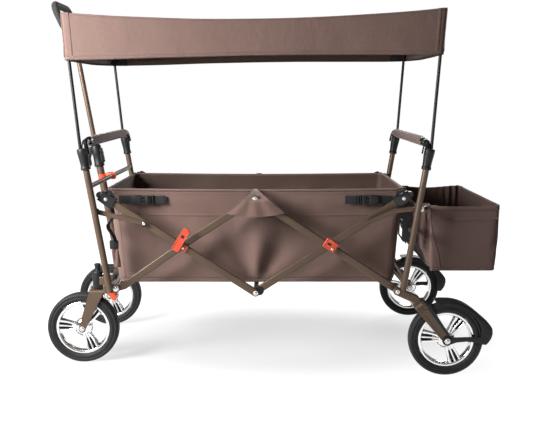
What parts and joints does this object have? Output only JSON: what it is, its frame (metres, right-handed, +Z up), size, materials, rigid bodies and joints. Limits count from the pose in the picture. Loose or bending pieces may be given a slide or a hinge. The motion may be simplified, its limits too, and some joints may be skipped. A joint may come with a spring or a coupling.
{
  "type": "folding wagon",
  "caption": "Folding cloth-basket wagon with canopy, rear bag, swivelling front wheels, brake pedals and a telescopic draw handle; scissor arms close it along its length.",
  "frame": {"origin": "on the floor under the middle of the whole object's box", "axes": "+X along the length towards the rear bag, +Y across towards the far side, +Z up"},
  "size_m": [1.2492, 0.6292, 1.0051],
  "materials": {
    "bronze_frame": "satin metallic bronze paint",
    "black_plastic": "moulded, satin",
    "tyre": "matt rubber with circular grooves",
    "chrome_rim": "bright plated plastic",
    "red_plastic": "moulded, satin",
    "black_foam": "soft foam",
    "brown_fabric": "coated polyester weave",
    "black_webbing": "woven webbing"
  },
  "bodies": {
    "rear_end": {"rear_frame": "bronze_frame", "rear_handle": "black_plastic", "rear_handle_sleeve": "brown_fabric", "rear_hoop": "black_plastic", "rear_fork_near": "bronze_frame", "rear_fork_far": "bronze_frame", "basket": "brown_fabric", "floor_mat": "brown_fabric", "canopy": "brown_fabric", "front_strap_near": "black_webbing", "front_strap_far": "black_webbing", "rear_strap_near": "black_webbing", "rear_strap_far": "black_webbing"},
    "rear_lower_arms": {"rear_lower_arm_near": "bronze_frame", "rear_lower_arm_far": "bronze_frame"},
    "rear_upper_arms": {"rear_upper_arm_near": "bronze_frame", "rear_upper_arm_far": "bronze_frame", "rear_hub_near": "black_plastic", "rear_hub_far": "black_plastic", "lower_cross_tube": "bronze_frame"},
    "front_lower_arms": {"front_lower_arm_near": "bronze_frame", "front_lower_arm_far": "bronze_frame"},
    "front_upper_arms": {"front_upper_arm_near": "bronze_frame", "front_upper_arm_far": "bronze_frame", "front_hub_near": "black_plastic", "front_hub_far": "black_plastic"},
    "front_end": {"front_frame": "bronze_frame", "front_handle": "black_plastic", "front_handle_sleeve": "brown_fabric", "front_hoop": "black_plastic", "swivel_housing_near": "black_plastic", "swivel_housing_far": "black_plastic", "draw_clip": "red_plastic"},
    "front_links": {"front_link_near": "bronze_frame", "front_link_far": "bronze_frame"},
    "bag_support": {"bag_frame": "bronze_frame", "rear_bag": "brown_fabric"},
    "rear_wheel_near": {"rear_near_tyre": "tyre", "rear_near_rim": "chrome_rim"},
    "rear_wheel_far": {"rear_far_tyre": "tyre", "rear_far_rim": "chrome_rim"},
    "brake_near": {"brake_pedal_near": "black_plastic"},
    "brake_far": {"brake_pedal_far": "black_plastic"},
    "caster_near": {"caster_fork_near": "bronze_frame"},
    "caster_far": {"caster_fork_far": "bronze_frame"},
    "front_wheel_near": {"front_near_tyre": "tyre", "front_near_rim": "chrome_rim"},
    "front_wheel_far": {"front_far_tyre": "tyre", "front_far_rim": "chrome_rim"},
    "swivel_lever_near": {"swivel_lock_near": "red_plastic"},
    "swivel_lever_far": {"swivel_lock_far": "red_plastic"},
    "draw_handle": {"draw_lower_tube": "bronze_frame", "draw_clamp": "black_plastic"},
    "draw_slide": {"draw_upper_tube": "bronze_frame", "draw_grip": "black_foam"},
    "clamp_cam": {"clamp_lever": "black_plastic"},
    "front_lock_lever_near": {"front_lock_near": "red_plastic"},
    "front_lock_lever_far": {"front_lock_far": "red_plastic"},
    "rear_lock_lever_near": {"rear_lock_near": "red_plastic"},
    "rear_lock_lever_far": {"rear_lock_far": "red_plastic"}
  },
  "joints": [
    {"name": "fold", "type": "hinge", "parent": "rear_end", "child": "rear_lower_arms", "pos_m": [0.34274, 0, 0.23], "axis": [0, 1, 0], "range_deg": [0, 45], "deforming": ["basket", "floor_mat", "canopy", "rear_bag", "front_strap_near", "front_strap_far", "rear_strap_near", "rear_strap_far"]},
    {"name": "rear_crossing", "type": "hinge", "parent": "rear_lower_arms", "child": "rear_upper_arms", "pos_m": [0.16159, 0, 0.34764], "axis": [0, 1, 0], "range_deg": [-90, 0]},
    {"name": "top_middle", "type": "hinge", "parent": "rear_lower_arms", "child": "front_lower_arms", "pos_m": [-0.03592, 0, 0.4759], "axis": [0, 1, 0], "range_deg": [-90, 0]},
    {"name": "front_crossing", "type": "hinge", "parent": "front_lower_arms", "child": "front_upper_arms", "pos_m": [-0.23343, 0, 0.34764], "axis": [0, 1, 0], "range_deg": [0, 90]},
    {"name": "front_foot", "type": "hinge", "parent": "front_lower_arms", "child": "front_end", "pos_m": [-0.41458, 0, 0.23], "axis": [0, 1, 0], "range_deg": [0, 45]},
    {"name": "link_turn", "type": "hinge", "parent": "front_end", "child": "front_links", "pos_m": [-0.45787, 0, 0.44334], "axis": [0, 1, 0], "range_deg": [-74.6, 0]},
    {"name": "bag_turn", "type": "hinge", "parent": "rear_end", "child": "bag_support", "pos_m": [0.39203, 0, 0.4485], "axis": [0, 1, 0], "range_deg": [0, 73.6]},
    {"name": "rear_wheel_near_spin", "type": "hinge", "parent": "rear_end", "child": "rear_wheel_near", "pos_m": [0.47554, -0.2835, 0.1], "axis": [0, 1, 0], "continuous": true},
    {"name": "rear_wheel_far_spin", "type": "hinge", "parent": "rear_end", "child": "rear_wheel_far", "pos_m": [0.47554, 0.2835, 0.1], "axis": [0, 1, 0], "continuous": true},
    {"name": "brake_near_press", "type": "hinge", "parent": "rear_end", "child": "brake_near", "pos_m": [0.47554, -0.2835, 0.1], "axis": [0, 1, 0], "range_deg": [0, 12]},
    {"name": "brake_far_press", "type": "hinge", "parent": "rear_end", "child": "brake_far", "pos_m": [0.47554, 0.2835, 0.1], "axis": [0, 1, 0], "range_deg": [0, 12]},
    {"name": "caster_near_swivel", "type": "hinge", "parent": "front_end", "child": "caster_near", "pos_m": [-0.47978, -0.18, 0.2082], "axis": [0, 0, 1], "continuous": true},
    {"name": "caster_far_swivel", "type": "hinge", "parent": "front_end", "child": "caster_far", "pos_m": [-0.47978, 0.18, 0.2082], "axis": [0, 0, 1], "continuous": true},
    {"name": "front_wheel_near_spin", "type": "hinge", "parent": "caster_near", "child": "front_wheel_near", "pos_m": [-0.52458, -0.18, 0.1], "axis": [0, 1, 0], "continuous": true},
    {"name": "front_wheel_far_spin", "type": "hinge", "parent": "caster_far", "child": "front_wheel_far", "pos_m": [-0.52458, 0.18, 0.1], "axis": [0, 1, 0], "continuous": true},
    {"name": "swivel_lock_near_flip", "type": "hinge", "parent": "caster_near", "child": "swivel_lever_near", "pos_m": [-0.46128, -0.18, 0.205], "axis": [0, -1, 0], "range_deg": [0, 20]},
    {"name": "swivel_lock_far_flip", "type": "hinge", "parent": "caster_far", "child": "swivel_lever_far", "pos_m": [-0.46128, 0.18, 0.205], "axis": [0, -1, 0], "range_deg": [0, 20]},
    {"name": "draw_swing", "type": "hinge", "parent": "front_end", "child": "draw_handle", "pos_m": [-0.45588, 0, 0.24], "axis": [0, -1, 0], "range_deg": [0, 85]},
    {"name": "draw_extend", "type": "slide", "parent": "draw_handle", "child": "draw_slide", "axis": [-0.1616, 0, 0.9869], "range_m": [-0.22, 0]},
    {"name": "clamp_open", "type": "hinge", "parent": "draw_handle", "child": "clamp_cam", "pos_m": [-0.53275, 0, 0.59033], "axis": [0, 1, 0], "range_deg": [0, 100]},
    {"name": "front_lock_near_turn", "type": "hinge", "parent": "front_upper_arms", "child": "front_lock_lever_near", "pos_m": [-0.24643, -0.2686, 0.34564], "axis": [0, 1, 0], "range_deg": [0, 92]},
    {"name": "front_lock_far_turn", "type": "hinge", "parent": "front_upper_arms", "child": "front_lock_lever_far", "pos_m": [-0.24643, 0.2686, 0.34564], "axis": [0, 1, 0], "range_deg": [0, 92]},
    {"name": "rear_lock_near_turn", "type": "hinge", "parent": "rear_lower_arms", "child": "rear_lock_lever_near", "pos_m": [0.16159, -0.2686, 0.34764], "axis": [0, -1, 0], "range_deg": [0, 92]},
    {"name": "rear_lock_far_turn", "type": "hinge", "parent": "rear_lower_arms", "child": "rear_lock_lever_far", "pos_m": [0.16159, 0.2686, 0.34764], "axis": [0, -1, 0], "range_deg": [0, 92]}
  ],
  "couplings": [
    {"joint": "rear_crossing", "follows": "fold", "ratio": -2},
    {"joint": "top_middle", "follows": "fold", "ratio": -2},
    {"joint": "front_crossing", "follows": "fold", "ratio": 2},
    {"joint": "front_foot", "follows": "fold", "ratio": 1},
    {"joint": "link_turn", "follows": "fold", "ratio": -1.6564},
    {"joint": "bag_turn", "follows": "fold", "ratio": 1.6347}
  ]
}
